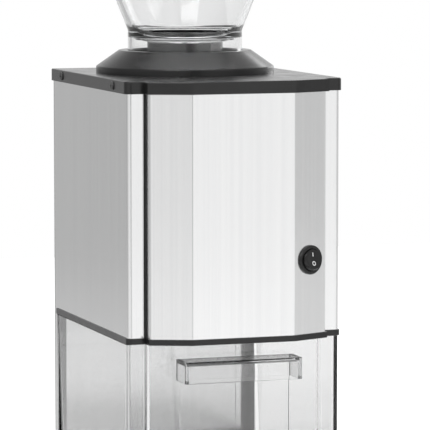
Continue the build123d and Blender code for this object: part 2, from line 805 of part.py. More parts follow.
# Hopper: straight skirt, flared wall and a rounded bottom with the neck's hole.
flare_radius = skirt_radius + (flare_height - kink_height) * flare_slope
skirt_inner = skirt_radius - hopper_wall
bowl_hole = neck_radius + seat_gap
bowl_under = bowl_height - hopper_wall
rim_radius = flare_radius + rim_width
rim_top = flare_height + rim_height
with BuildPart() as hopper:
    with BuildSketch(hopper_plane) as hopper_profile:
        with BuildLine():
            bowl_foot = (bowl_hole, bowl_height)
            bowl_edge = (skirt_inner + 0.6, kink_height + 6.0)
            Polyline(
                bowl_foot,
                (bowl_hole, bowl_under),
                (skirt_inner - 3.0, bowl_under + 2.0),
                (skirt_inner, bowl_under + 4.0),
                (skirt_inner, hopper_foot),
                (skirt_radius, hopper_foot),
                (skirt_radius, kink_height),
                (flare_radius, flare_height),
                (rim_radius, flare_height),
                (rim_radius, rim_top),
                (flare_radius - hopper_wall, rim_top),
                (flare_radius - hopper_wall, flare_height),
                bowl_edge,
            )
            TangentArc(
                bowl_edge,
                bowl_foot,
                tangent=(
                    -(flare_radius - hopper_wall - bowl_edge[0]),
                    -(flare_height - bowl_edge[1]),
                ),
            )
        make_face()
        rim_points = [
            v
            for v in hopper_profile.vertices()
            if v.X > rim_radius - 0.01 or (v.Y < hopper_foot + 0.01 and v.X > 0)
        ]
        fillet(rim_points, radius=0.8)
    revolve(axis=hopper_axis)
hopper.part.label = "hopper"
export_step(hopper.part, "parts/hopper.step")

# Lid: shallow dome with a lip inside the rim, and its knob.
lid_seat = rim_top + join_gap
lip_radius = flare_radius - hopper_wall - seat_gap
lid_top = lid_seat + lid_thickness + lid_dome
with BuildPart() as lid:
    with BuildSketch(hopper_plane):
        with BuildLine():
            Polyline(
                (0, lid_top - lid_thickness),
                (0, lid_top),
            )
            ThreePointArc(
                (0, lid_top),
                (rim_radius / 2, lid_seat + lid_thickness + lid_dome * 0.77),
                (rim_radius - 1.0, lid_seat + lid_thickness),
            )
            Polyline(
                (rim_radius - 1.0, lid_seat + lid_thickness),
                (rim_radius + 1.0, lid_seat + lid_thickness - 1.0),
                (rim_radius + 1.0, lid_seat),
                (lip_radius, lid_seat),
                (lip_radius, lid_seat - rim_height),
                (lip_radius - 2.0, lid_seat - rim_height),
                (lip_radius - 2.0, lid_seat),
            )
            ThreePointArc(
                (lip_radius - 2.0, lid_seat),
                (rim_radius / 2, lid_seat + lid_dome * 0.77),
                (0, lid_top - lid_thickness),
            )
        make_face()
    revolve(axis=hopper_axis)
    with BuildSketch(Plane.XY.offset(cover_top_z + lid_seat)):
        with Locations((0, hopper_y)):
            Circle(screw_radius + fit_gap)
    extrude(amount=lid_dome + 2 * lid_thickness, mode=Mode.SUBTRACT)
lid.part.label = "lid"
export_step(lid.part, "parts/lid.step")

with BuildPart() as lid_knob:
    with BuildSketch(hopper_plane) as knob_profile:
        with BuildLine():
            knob_top = lid_top + knob_height
            nut_z = lid_seat + lid_dome - 3.0
            nut_top = lid_top - lid_thickness - join_gap
            Polyline(
                (0, nut_z),
                (screw_head_radius, nut_z),
                (screw_head_radius, nut_top),
                (screw_radius, nut_top),
                (screw_radius, lid_top + join_gap),
                (knob_stem, lid_top + join_gap),
                (knob_stem - 1.0, lid_top + knob_height * 0.45),
                (knob_radius, lid_top + knob_height * 0.6),
                (knob_radius, lid_top + knob_height * 0.8),
                (knob_radius - 5.0, knob_top),
                (0, knob_top),
                close=True,
            )
        make_face()
        round_points = [
            v for v in knob_profile.vertices() if v.X > knob_stem and v.Y > lid_top + 1.0
        ]
        fillet(round_points, radius=1.6)
    revolve(axis=hopper_axis)
lid_knob.part.label = "lid_knob"
export_step(lid_knob.part, "parts/lid_knob.step")

# ================================================================ crusher
# Chamber: cast box under the neck, open at the bottom.
chamber_top_z = cover_top_z - chamber_top_drop
chamber_bottom_z = chamber_top_z - chamber_height
across = Plane((0, hopper_y, rotor_z), x_dir=(0, 1, 0), z_dir=(1, 0, 0))
with BuildPart() as chamber:
    with BuildSketch(Plane.XY.offset(chamber_bottom_z)):
        with Locations((0, hopper_y)):
            RectangleRounded(2 * chamber_half_width, 2 * chamber_half_depth, 4.0)
    extrude(amount=chamber_height)
    with BuildSketch(across):
        Circle(bearing_boss_radius)
    extrude(amount=chamber_half_width + bearing_boss, both=True)
    with BuildSketch(Plane.XY.offset(chamber_bottom_z)):
        with Locations((0, hopper_y)):
            Rectangle(
                2 * (chamber_half_width - chamber_wall), 2 * (chamber_half_depth - chamber_wall)
            )
    extrude(amount=chamber_height - chamber_wall, mode=Mode.SUBTRACT)
    with BuildSketch(Plane.XY.offset(chamber_top_z)):
        with Locations((0, hopper_y)):
            Circle(neck_radius - neck_wall)
    extrude(amount=-chamber_wall, mode=Mode.SUBTRACT)
    with BuildSketch(across):
        Circle(bearing_radius + fit_gap)
    extrude(amount=chamber_half_width + bearing_boss + 1.0, both=True, mode=Mode.SUBTRACT)
chamber.part.label = "chamber"
export_step(chamber.part, "parts/chamber.step")

# Flanged bushes in the chamber's two side walls.
boss_x = chamber_half_width + bearing_boss
inner_wall_x = chamber_half_width - chamber_wall
with BuildPart() as shaft_bearings:
    for side in (-1, 1):
        with BuildSketch(across.offset(side * inner_wall_x)):
            Circle(bearing_radius)
        extrude(amount=side * (boss_x - inner_wall_x))
        with BuildSketch(across.offset(side * inner_wall_x)):
            Circle(bearing_radius + 2.5)
        extrude(amount=-side * bearing_flange)
    with BuildSketch(across):
        Circle(shaft_radius + fit_gap)
    extrude(amount=boss_x + 1.0, both=True, mode=Mode.SUBTRACT)
shaft_bearings.part.label = "shaft_bearings"
export_step(shaft_bearings.part, "parts/shaft_bearings.step")

# Comb of fixed blades on the chamber's front wall, between the turning discs.
comb_wall_y = hopper_y - chamber_half_depth + chamber_wall
gaps = disc_count - 1
with BuildPart() as fixed_blades:
    with BuildSketch(Plane.XY.offset(rotor_z - comb_height / 2)):
        with Locations((0, comb_wall_y + (comb_bar / 2) / 2)):
            Rectangle(2 * inner_wall_x - 2 * join_gap, comb_bar / 2)
        with Locations((0, (comb_wall_y + hopper_y - comb_reach) / 2)):
            with GridLocations(disc_pitch, 0, gaps, 1):
                Rectangle(disc_thickness, hopper_y - comb_reach - comb_wall_y)
    extrude(amount=comb_height)
    tips = [
        e
        for e in fixed_blades.edges().filter_by(Axis.X)
        if e.center().Y > hopper_y - comb_reach - 0.01
    ]
    chamfer(tips, length=6.0)
fixed_blades.part.label = "fixed_blades"
export_step(fixed_blades.part, "parts/fixed_blades.step")

# Rotor: shaft, spacer hub and discs, each disc turned on a little from the last.
gear_side_x = boss_x + plate_thickness      # inner face of the gearbox
first_mesh_x = gear_side_x + 3.0            # large idler gear and motor pinion
second_mesh_x = first_mesh_x + gear_width + 1.0
shaft_end_x = second_mesh_x + drive_gear_width + 3.0
with BuildPart() as rotor_shaft:
    with BuildSketch(across.offset(-boss_x - 2.0)):
        Circle(shaft_radius)
    extrude(amount=boss_x + 2.0 + shaft_end_x)
    chamfer(rotor_shaft.edges().filter_by(GeomType.CIRCLE), length=0.8)
rotor_shaft.part.label = "rotor_shaft"
export_step(rotor_shaft.part, "parts/rotor_shaft.step")

hub_half = inner_wall_x - bearing_flange - seat_gap
with BuildPart() as rotor_hub:
    with BuildSketch(across):
        Circle(hub_radius)
        Circle(shaft_radius + fit_gap, mode=Mode.SUBTRACT)
    extrude(amount=hub_half, both=True)
rotor_hub.part.label = "rotor_hub"
export_step(rotor_hub.part, "parts/rotor_hub.step")

arm_step = 360.0 / arm_count
disc_step = arm_step / disc_count
with BuildPart() as rotor_blades:
    for disc in range(disc_count):
        disc_x = (disc - (disc_count - 1) / 2) * disc_pitch
        with BuildSketch(across.offset(disc_x - disc_thickness / 2)):
            Circle(hub_radius + 4.0)
            for arm in range(arm_count):
                turn = disc * disc_step + arm * arm_step
                with Locations(Rotation(0, 0, turn)):
                    Polygon(
                        (hub_radius, -6.0),
                        (rotor_radius - 1.5, -4.0),
                        (rotor_radius - 0.5, 2.0),
                        (rotor_radius - 7.0, 3.0),
                        (hub_radius, 7.5),
                        align=None,
                    )
            Circle(hub_radius + fit_gap, mode=Mode.SUBTRACT)
        extrude(amount=disc_thickness)
rotor_blades.part.label = "rotor_blades"
export_step(rotor_blades.part, "parts/rotor_blades.step")

# Chute: funnel from the chamber down through the deck.
chute_top_z = chamber_bottom_z - join_gap
chute_foot_z = deck_bottom_z + 0.5
chute_top_x = chamber_half_width
chute_top_y = chamber_half_depth
chute_foot = chute_foot_half - chute_wall - seat_gap
with BuildPart() as chute:
    with BuildSketch(Plane.XY.offset(chute_top_z)):
        with Locations((0, hopper_y)):
            Rectangle(2 * chute_top_x, 2 * chute_top_y)
    with BuildSketch(Plane.XY.offset(deck_top_z)):
        with Locations((0, hopper_y)):
            Rectangle(2 * chute_foot, 2 * chute_foot)
    loft(ruled=True)
    with BuildSketch(Plane.XY.offset(deck_top_z)):
        with Locations((0, hopper_y)):
            Rectangle(2 * chute_foot, 2 * chute_foot)
    extrude(amount=chute_foot_z - deck_top_z)
    # feet that stand on the deck
    with BuildSketch(Plane.XY.offset(deck_top_z)):
        with Locations((0, hopper_y)):
            Rectangle(2 * chute_foot_half + 12.0, 2 * chute_foot_half + 12.0)
    extrude(amount=chute_wall)
    with BuildSketch(Plane.XY.offset(chute_top_z)):
        with Locations((0, hopper_y)):
            Rectangle(2 * (chute_top_x - chute_wall), 2 * (chute_top_y - chute_wall))
    with BuildSketch(Plane.XY.offset(deck_top_z)):
        with Locations((0, hopper_y)):
            Rectangle(2 * (chute_foot - chute_wall), 2 * (chute_foot - chute_wall))
    loft(ruled=True, mode=Mode.SUBTRACT)
    with BuildSketch(Plane.XY.offset(deck_top_z)):
        with Locations((0, hopper_y)):
            Rectangle(2 * (chute_foot - chute_wall), 2 * (chute_foot - chute_wall))
    extrude(amount=chute_foot_z - deck_top_z, mode=Mode.SUBTRACT)
chute.part.label = "chute"
export_step(chute.part, "parts/chute.step")

# ================================================================ gearbox
side_plane = Plane((gear_side_x, 0, 0), x_dir=(0, 1, 0), z_dir=(1, 0, 0))
drive_tip = second_module * (drive_teeth + 2) / 2
idler_tip = first_module * (idler_teeth + 2) / 2
box_circles = [
    (rotor_at, drive_tip + gear_room + gearbox_wall),
    (idler_at, idler_tip + gear_room + gearbox_wall),
    (motor_at, motor_radius),
]
lug_radius = 5.0
lug_places = [
    (centre[0] + (radius + 1.5) * math.cos(turn), centre[1] + (radius + 1.5) * math.sin(turn))
    for centre, radius, turn in (
        (*box_circles[0], math.radians(60)),
        (*box_circles[0], math.radians(-60)),
        (*box_circles[2], math.radians(225)),
        (*box_circles[2], math.radians(290)),
    )
]

with BuildPart() as gearbox_plate:
    with BuildSketch(side_plane.offset(-plate_thickness)):
        for centre, radius in box_circles:
            with Locations(centre):
                Circle(radius)
        make_hull()
        with Locations(*lug_places):
            Circle(lug_radius)
            Circle(screw_radius + fit_gap, mode=Mode.SUBTRACT)
        with Locations(rotor_at):
            Circle(shaft_radius + 1.0, mode=Mode.SUBTRACT)
        with Locations(idler_at):
            Circle(idler_pin_radius + fit_gap, mode=Mode.SUBTRACT)
        with Locations(motor_at):
            Circle(motor_shaft_radius + 1.0, mode=Mode.SUBTRACT)
    extrude(amount=plate_thickness)
gearbox_plate.part.label = "gearbox_plate"
export_step(gearbox_plate.part, "parts/gearbox_plate.step")

pin_end_x = gear_side_x + gearbox_depth - gearbox_wall - 1.0
with BuildPart() as gearbox_cover:
    with BuildSketch(side_plane):
        for centre, radius in box_circles:
            with Locations(centre):
                Circle(radius)
        make_hull()
    extrude(amount=gearbox_depth)
    fillet(gearbox_cover.faces().sort_by(Axis.X)[-1].edges(), radius=1.5)
    with BuildSketch(side_plane):
        with Locations(*lug_places):
            Circle(lug_radius)
    extrude(amount=gearbox_depth)
    with BuildSketch(side_plane):
        with Locations(*lug_places):
            Circle(screw_radius + fit_gap)
    extrude(amount=gearbox_depth, mode=Mode.SUBTRACT)
    with BuildSketch(side_plane):
        for centre, radius in box_circles:
            with Locations(centre):
                Circle(radius - gearbox_wall)
        make_hull()
    extrude(amount=gearbox_depth - gearbox_wall, mode=Mode.SUBTRACT)
    with BuildSketch(side_plane.offset(gearbox_depth - gearbox_wall)):
        with Locations(idler_at):
            Circle(idler_pin_radius + 3.0)
    extrude(amount=-4.0)
    with BuildSketch(side_plane.offset(gearbox_depth - gearbox_wall)):
        with Locations(idler_at):
            Circle(idler_pin_radius + fit_gap)
    extrude(amount=-4.0, mode=Mode.SUBTRACT)
gearbox_cover.part.label = "gearbox_cover"
export_step(gearbox_cover.part, "parts/gearbox_cover.step")

with BuildPart() as idler_pin:
    with BuildSketch(side_plane.offset(-plate_thickness)):
        with Locations(idler_at):
            Circle(idler_pin_radius)
    extrude(amount=pin_end_x - gear_side_x + plate_thickness)
idler_pin.part.label = "idler_pin"
export_step(idler_pin.part, "parts/idler_pin.step")

# Drive gear on the rotor shaft: a gap of its teeth faces the idler.
to_idler = direction(rotor_at, idler_at)
with BuildPart() as drive_gear:
    with BuildSketch(Plane.YZ.offset(second_mesh_x)):
        Polygon(
            *gear_points(
                second_module, drive_teeth, rotor_at, to_idler + math.pi / drive_teeth
            ),
            align=None,
        )
        with Locations(rotor_at):
            Circle(shaft_radius + fit_gap, mode=Mode.SUBTRACT)
            with PolarLocations(web_ring, web_holes):
                Circle(web_hole_radius, mode=Mode.SUBTRACT)
    extrude(amount=drive_gear_width)
    with BuildSketch(Plane.YZ.offset(second_mesh_x + drive_gear_width)):
        with Locations(rotor_at):
            Circle(shaft_radius + 5.0)
            Circle(shaft_radius + fit_gap, mode=Mode.SUBTRACT)
    extrude(amount=2.0)
drive_gear.part.label = "drive_gear"
export_step(drive_gear.part, "parts/drive_gear.step")

# Compound idler: small gear into the drive gear, large gear to the motor.
with BuildPart() as idler_gear:
    with BuildSketch(Plane.YZ.offset(first_mesh_x)):
        Polygon(
            *gear_points(
                first_module,
                idler_teeth,
                idler_at,
                direction(idler_at, motor_at) + math.pi / idler_teeth,
            ),
            align=None,
        )
    extrude(amount=gear_width)
    with BuildSketch(Plane.YZ.offset(first_mesh_x + gear_width)):
        Polygon(
            *gear_points(second_module, small_teeth, idler_at, to_idler + math.pi),
            align=None,
        )
    extrude(amount=drive_gear_width + 1.5)
    with BuildSketch(Plane.YZ.offset(first_mesh_x)):
        with Locations(idler_at):
            Circle(idler_pin_radius + fit_gap)
    extrude(amount=gear_width + drive_gear_width + 2.0, mode=Mode.SUBTRACT)
    with BuildSketch(Plane.YZ.offset(first_mesh_x)):
        with Locations(idler_at):
            with PolarLocations(idler_web_ring, idler_web_holes):
                Circle(idler_web_radius)
    extrude(amount=gear_width, mode=Mode.SUBTRACT)
idler_gear.part.label = "idler_gear"
export_step(idler_gear.part, "parts/idler_gear.step")

with BuildPart() as motor_pinion:
    with BuildSketch(Plane.YZ.offset(first_mesh_x - 0.5)):
        Polygon(
            *gear_points(
                first_module, pinion_teeth, motor_at, direction(motor_at, idler_at)
            ),
            align=None,
        )
        with Locations(motor_at):
            Circle(motor_shaft_radius + fit_gap, mode=Mode.SUBTRACT)
    extrude(amount=gear_width + 1.0)
motor_pinion.part.label = "motor_pinion"
export_step(motor_pinion.part, "parts/motor_pinion.step")

lug_screw_seats = [
    Plane((gear_side_x + gearbox_depth, y, z), z_dir=(1, 0, 0)) for y, z in lug_places
]
lug_screw = pan_screw(gearbox_depth + plate_thickness)
with BuildPart() as gearbox_screws:
    with Locations(*lug_screw_seats):
        add(lug_screw)
gearbox_screws.part.label = "gearbox_screws"
export_step(gearbox_screws.part, "parts/gearbox_screws.step")

# ================================================================ motor
drive_cap_x = boss_x - drive_cap_length
can_x = drive_cap_x - motor_length
rear_cap_x = can_x - rear_cap_length
stator_x = can_x + (motor_length - stator_length) / 2 + 4.0
motor_plane = Plane((0, motor_y, motor_z), x_dir=(0, 1, 0), z_dir=(1, 0, 0))

with BuildPart() as motor_can:
    with BuildSketch(motor_plane.offset(can_x)):
        Circle(motor_radius)
        Circle(motor_radius - motor_skin, mode=Mode.SUBTRACT)
    extrude(amount=motor_length)
motor_can.part.label = "motor_can"
export_step(motor_can.part, "parts/motor_can.step")

with BuildPart() as motor_drive_cap:
    with BuildSketch(motor_plane.offset(drive_cap_x)):
        Circle(motor_radius)
        with PolarLocations(cap_vent_ring, drive_cap_vents):
            Circle(drive_cap_vent_radius, mode=Mode.SUBTRACT)
        Circle(motor_shaft_radius + 1.0, mode=Mode.SUBTRACT)
    extrude(amount=drive_cap_length)
    with BuildSketch(motor_plane.offset(boss_x)):
        Circle(ball_radius + fit_gap)
    extrude(amount=-ball_width, mode=Mode.SUBTRACT)
motor_drive_cap.part.label = "motor_drive_cap"
export_step(motor_drive_cap.part, "parts/motor_drive_cap.step")

with BuildPart() as motor_rear_cap:
    with BuildSketch(motor_plane.offset(rear_cap_x)):
        Circle(motor_radius)
        with PolarLocations(cap_vent_ring, rear_cap_vents):
            Circle(rear_cap_vent_radius, mode=Mode.SUBTRACT)
        Circle(ball_radius + fit_gap, mode=Mode.SUBTRACT)
    extrude(amount=rear_cap_length)
motor_rear_cap.part.label = "motor_rear_cap"
export_step(motor_rear_cap.part, "parts/motor_rear_cap.step")

with BuildPart() as motor_bearings:
    for start in (boss_x - ball_width, rear_cap_x + (rear_cap_length - ball_width) / 2):
        with BuildSketch(motor_plane.offset(start)):
            Circle(ball_radius)
            Circle(motor_shaft_radius + fit_gap, mode=Mode.SUBTRACT)
        extrude(amount=ball_width)
motor_bearings.part.label = "motor_bearings"
export_step(motor_bearings.part, "parts/motor_bearings.step")

with BuildPart() as motor_stator:
    with BuildSketch(motor_plane.offset(stator_x)):
        Circle(motor_radius - motor_skin - fit_gap)
        Circle(stator_radius, mode=Mode.SUBTRACT)
        Rectangle(pole_gap, 2 * motor_radius, mode=Mode.SUBTRACT)
    extrude(amount=stator_length)
motor_stator.part.label = "motor_stator"
export_step(motor_stator.part, "parts/motor_stator.step")

with BuildPart() as motor_armature:
    armature_radius = stator_radius - air_gap
    with BuildSketch(motor_plane.offset(stator_x)):
        Circle(armature_radius)
        with PolarLocations(armature_radius, armature_slots):
            Rectangle(slot_depth, slot_width, mode=Mode.SUBTRACT)
    extrude(amount=stator_length)
    with BuildSketch(motor_plane.offset(stator_x - coil_head)):
        Circle(armature_radius - slot_depth * 2 / 3)
    extrude(amount=stator_length + 2 * coil_head)
    with BuildSketch(motor_plane.offset(can_x + 2.0)):
        Circle(commutator_radius)
    extrude(amount=stator_x - can_x)
    with BuildSketch(motor_plane.offset(can_x)):
        Circle(motor_shaft_radius + fit_gap)
    extrude(amount=motor_length, mode=Mode.SUBTRACT)
motor_armature.part.label = "motor_armature"
export_step(motor_armature.part, "parts/motor_armature.step")

fan_x = rear_cap_x - 2.5
with BuildPart() as motor_shaft:
    with BuildSketch(motor_plane.offset(fan_x - fan_width)):
        Circle(motor_shaft_radius)
    extrude(amount=first_mesh_x + gear_width + 1.0 - fan_x + fan_width)
    chamfer(motor_shaft.edges().filter_by(GeomType.CIRCLE), length=0.5)
motor_shaft.part.label = "motor_shaft"
export_step(motor_shaft.part, "parts/motor_shaft.step")

with BuildPart() as motor_fan:
    with BuildSketch(motor_plane.offset(fan_x)):
        Circle(fan_radius)
    extrude(amount=-1.2)
    with BuildSketch(motor_plane.offset(fan_x)):
        Circle(motor_shaft_radius + 4.0)
        with PolarLocations((motor_shaft_radius + 2.0 + fan_radius) / 2, fan_blades):
            Rectangle(fan_radius - motor_shaft_radius - 2.0, 1.4)
    extrude(amount=-fan_width)
    with BuildSketch(motor_plane.offset(fan_x)):
        Circle(motor_shaft_radius + fit_gap)
    extrude(amount=-fan_width, mode=Mode.SUBTRACT)
motor_fan.part.label = "motor_fan"
export_step(motor_fan.part, "parts/motor_fan.step")

# ================================================================ switch
pivot_height = bezel_height - pivot_depth
bore_depth = rocker_radius * math.sin(math.radians(rocker_tilt)) + 5.0
with BuildPart() as switch_housing:
    with BuildSketch(switch_plane):
        Circle(bezel_radius)
    extrude(amount=bezel_height)
    rim_edge = switch_housing.edges().filter_by(GeomType.CIRCLE).sort_by(Axis.Y)[0]
    fillet(rim_edge, radius=0.8)
    with BuildSketch(switch_plane):
        Circle(barrel_radius)
    extrude(amount=-barrel_length)
    with BuildSketch(switch_plane.offset(bezel_height)):
        Circle(rocker_radius + seat_gap)
    extrude(amount=-(bezel_height + bore_depth), mode=Mode.SUBTRACT)
    pin_plane = Plane(
        switch_plane.from_local_coords(Vector(0, 0, pivot_height)),
        x_dir=(0, 0, 1),
        z_dir=switch_right,
    )
    with BuildSketch(pin_plane):
        Circle(switch_pin_radius + fit_gap)
    extrude(amount=barrel_radius - 0.2, both=True, mode=Mode.SUBTRACT)
switch_housing.part.label = "switch_housing"
export_step(switch_housing.part, "parts/switch_housing.step")

with BuildPart() as switch_pin:
    with BuildSketch(pin_plane):
        Circle(switch_pin_radius)
    extrude(amount=barrel_radius - 0.3, both=True)
switch_pin.part.label = "switch_pin"
export_step(switch_pin.part, "parts/switch_pin.step")

# Rocker: slice of a ball about its pivot, its face dished, the upper end pressed in.
tilt = math.radians(rocker_tilt)
rocker_normal = (
    Vector(*switch_normal) * math.cos(tilt) + Vector(0, 0, 1) * math.sin(tilt)
)
rocker_frame = Plane(
    switch_plane.from_local_coords(Vector(0, 0, pivot_height)),
    x_dir=switch_right,
    z_dir=rocker_normal,
)
rocker_back = -3.0
dish_radius = 40.0
dish_depth = 0.5
with BuildPart() as switch_rocker:
    with BuildSketch(rocker_frame.offset(rocker_back)):
        Circle(rocker_radius + 1.0)
    extrude(amount=rocker_face - rocker_back)
    with Locations(rocker_frame):
        Sphere(rocker_radius, mode=Mode.INTERSECT)
    with Locations(rocker_frame.offset(rocker_face + dish_radius - dish_depth)):
        Sphere(dish_radius, mode=Mode.SUBTRACT)
    with BuildSketch(pin_plane):
        Circle(switch_pin_radius + fit_gap)
    extrude(amount=rocker_radius + 1.0, both=True, mode=Mode.SUBTRACT)
switch_rocker.part.label = "switch_rocker"
export_step(switch_rocker.part, "parts/switch_rocker.step")

with BuildPart() as switch_terminals:
    with BuildSketch(switch_plane.offset(-barrel_length)):
        with Locations((0, 5.5), (0, 0), (0, -5.5)):
            Rectangle(4.8, 0.8)
    extrude(amount=-terminal_length)
switch_terminals.part.label = "switch_terminals"
export_step(switch_terminals.part, "parts/switch_terminals.step")

# ================================================================ safety switch and mains inlet
plunger_foot_z = cover_under_z - 6.0
plunger_top_z = cover_top_z + hopper_foot - seat_gap
with BuildPart() as interlock_switch:
    with BuildSketch(Plane.XY.offset(cover_under_z)):
        with Locations((0, plunger_y)):
            Rectangle(20.0, 6.4)
    extrude(amount=-12.0)
    with BuildSketch(Plane.XY.offset(cover_under_z)):
        with Locations((0, plunger_y)):
            Circle(plunger_radius + 2 * fit_gap)
    extrude(amount=-(6.0 + plunger_travel + 0.5), mode=Mode.SUBTRACT)
interlock_switch.part.label = "interlock_switch"
export_step(interlock_switch.part, "parts/interlock_switch.step")

with BuildPart() as interlock_plunger:
    with BuildSketch(Plane.XY.offset(plunger_foot_z)):
        with Locations((0, plunger_y)):
            Circle(plunger_radius)
    extrude(amount=plunger_top_z - plunger_foot_z)
    fillet(interlock_plunger.edges().group_by(Axis.Z)[-1], radius=1.0)
interlock_plunger.part.label = "interlock_plunger"
export_step(interlock_plunger.part, "parts/interlock_plunger.step")

panel_inner_y = back_y - sheet
with BuildPart() as terminal_block:
    with BuildSketch(Plane.XZ.offset(-panel_inner_y)):
        with Locations((gland_x + 42.0, gland_z)):
            Rectangle(34.0, 16.0)
    extrude(amount=12.0)
    with BuildSketch(Plane.XZ.offset(-panel_inner_y + 12.0)):
        with Locations((gland_x + 42.0, gland_z)):
            with GridLocations(10.0, 9.0, 3, 2):
                Circle(2.2)
    extrude(amount=-7.0, mode=Mode.SUBTRACT)
terminal_block.part.label = "terminal_block"
export_step(terminal_block.part, "parts/terminal_block.step")

gland_plane = Plane((gland_x, back_y, gland_z), x_dir=(1, 0, 0), z_dir=(0, 1, 0))
with BuildPart() as cable_gland:
    with BuildSketch(gland_plane):
        Circle(gland_flange)
    extrude(amount=gland_proud, taper=12)
    with BuildSketch(gland_plane):
        Circle(gland_body)
    extrude(amount=-(gland_length - gland_proud))
    with BuildSketch(gland_plane.offset(gland_proud)):
        Circle(gland_bore)
    extrude(amount=-gland_length, mode=Mode.SUBTRACT)
cable_gland.part.label = "cable_gland"
export_step(cable_gland.part, "parts/cable_gland.step")

with BuildPart() as gland_nut:
    with BuildSketch(gland_plane.offset(-sheet)):
        RegularPolygon(gland_flange + 1.0, 6)
        Circle(gland_body + fit_gap, mode=Mode.SUBTRACT)
    extrude(amount=-5.0)
gland_nut.part.label = "gland_nut"
export_step(gland_nut.part, "parts/gland_nut.step")
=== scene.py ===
"""Looks of an electric ice crusher: finishes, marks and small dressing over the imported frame.

Metres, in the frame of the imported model: +Z up, the front faces -Y.
"""

import math

import bmesh
import bpy
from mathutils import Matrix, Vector
from mathutils.bvhtree import BVHTree


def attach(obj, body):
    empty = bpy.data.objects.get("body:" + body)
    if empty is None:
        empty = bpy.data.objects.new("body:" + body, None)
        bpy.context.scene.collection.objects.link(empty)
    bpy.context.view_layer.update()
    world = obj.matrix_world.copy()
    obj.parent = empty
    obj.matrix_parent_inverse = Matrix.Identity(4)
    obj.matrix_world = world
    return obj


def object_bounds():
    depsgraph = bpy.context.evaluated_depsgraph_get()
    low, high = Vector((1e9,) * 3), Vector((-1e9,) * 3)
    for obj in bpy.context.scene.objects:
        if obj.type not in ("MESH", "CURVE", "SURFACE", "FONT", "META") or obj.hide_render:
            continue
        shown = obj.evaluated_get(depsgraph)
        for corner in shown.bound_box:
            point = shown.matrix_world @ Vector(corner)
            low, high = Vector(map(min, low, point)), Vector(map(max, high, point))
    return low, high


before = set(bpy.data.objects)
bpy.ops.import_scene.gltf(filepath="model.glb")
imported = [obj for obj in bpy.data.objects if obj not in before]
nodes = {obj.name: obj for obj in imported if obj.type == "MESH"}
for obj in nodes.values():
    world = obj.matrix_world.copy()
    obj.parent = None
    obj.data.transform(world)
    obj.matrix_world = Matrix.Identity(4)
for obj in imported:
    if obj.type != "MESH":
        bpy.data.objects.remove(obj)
cad_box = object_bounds()
scene = bpy.context.scene

MM = 0.001


# ================================================================ materials
def feed(tree, socket, value):
    """Links a node's output to a socket, or sets a constant on it."""
    if isinstance(value, bpy.types.NodeSocket):
        tree.links.new(value, socket)
    else:
        socket.default_value = value


class Finish:
    """A procedural material: one Principled shader and the nodes that feed it."""

    def __init__(self, name, colour, roughness, metallic=0.0, **constants):
        self.material = bpy.data.materials.new(name)
        self.material.use_nodes = True
        self.tree = self.material.node_tree
        self.shader = self.tree.nodes["Principled BSDF"]
        self.height = None
        place = self.node("ShaderNodeTexCoord")
        self.place = place.outputs["Object"]
        self.set("Base Color", (*colour, 1.0))
        self.set("Roughness", roughness)
        self.set("Metallic", metallic)
        for socket, value in constants.items():
            self.set(socket.replace("_", " "), value)

    def set(self, socket, value):
        """Feeds one of the shader's sockets."""
        feed(self.tree, self.shader.inputs[socket], value)

    def node(self, kind, inputs=None, **settings):
        """A new node with its settings made and its inputs fed."""
        made = self.tree.nodes.new(kind)
        for key, value in settings.items():
            setattr(made, key, value)
        for key, value in (inputs or {}).items():
            feed(self.tree, made.inputs[key], value)
        return made

    def stretched(self, stretch):
        """Object coordinates multiplied by stretch, so that a pattern is 1/stretch long."""
        scaled = self.node("ShaderNodeVectorMath", {0: self.place, 1: stretch}, operation="MULTIPLY")
        return scaled.outputs["Vector"]

    def noise(self, stretch, detail=2.0, roughness=0.5):
        """Noise from 0 to 1 with stretch cells for each metre along x, y and z."""
        made = self.node(
            "ShaderNodeTexNoise",
            {
                "Vector": self.stretched(stretch),
                "Scale": 1.0,
                "Detail": detail,
                "Roughness": roughness,
            },
        )
        return made.outputs["Fac"]

    def bands(self, stretch, direction):
        """Even bands across one axis."""
        made = self.node(
            "ShaderNodeTexWave",
            {"Vector": self.stretched(stretch), "Scale": 1.0},
            bands_direction=direction,
        )
        return made.outputs["Fac"]

    def between(self, factor, low, high):
        """A value from low to high as factor goes from 0.3 to 0.7, the usual reach of noise."""
        made = self.node(
            "ShaderNodeMapRange",
            {"Value": factor, "From Min": 0.3, "From Max": 0.7, "To Min": low, "To Max": high},
        )
        return made.outputs["Result"]

    def blend(self, factor, first, second):
        """A colour from first to second."""
        made = self.node(
            "ShaderNodeMix",
            {"Factor": self.between(factor, 0.0, 1.0), "A": (*first, 1.0), "B": (*second, 1.0)},
            data_type="RGBA",
        )
        return made.outputs["Result"]

    def relief(self, factor, depth, strength=1.0):
        """Adds a bump of the given depth in metres, over those added before."""
        inputs = {"Height": factor, "Distance": depth, "Strength": strength}
        if self.height is not None:
            inputs["Normal"] = self.height
        self.height = self.node("ShaderNodeBump", inputs).outputs["Normal"]
        self.set("Normal", self.height)


def grey(level):
    return (level, level, level)


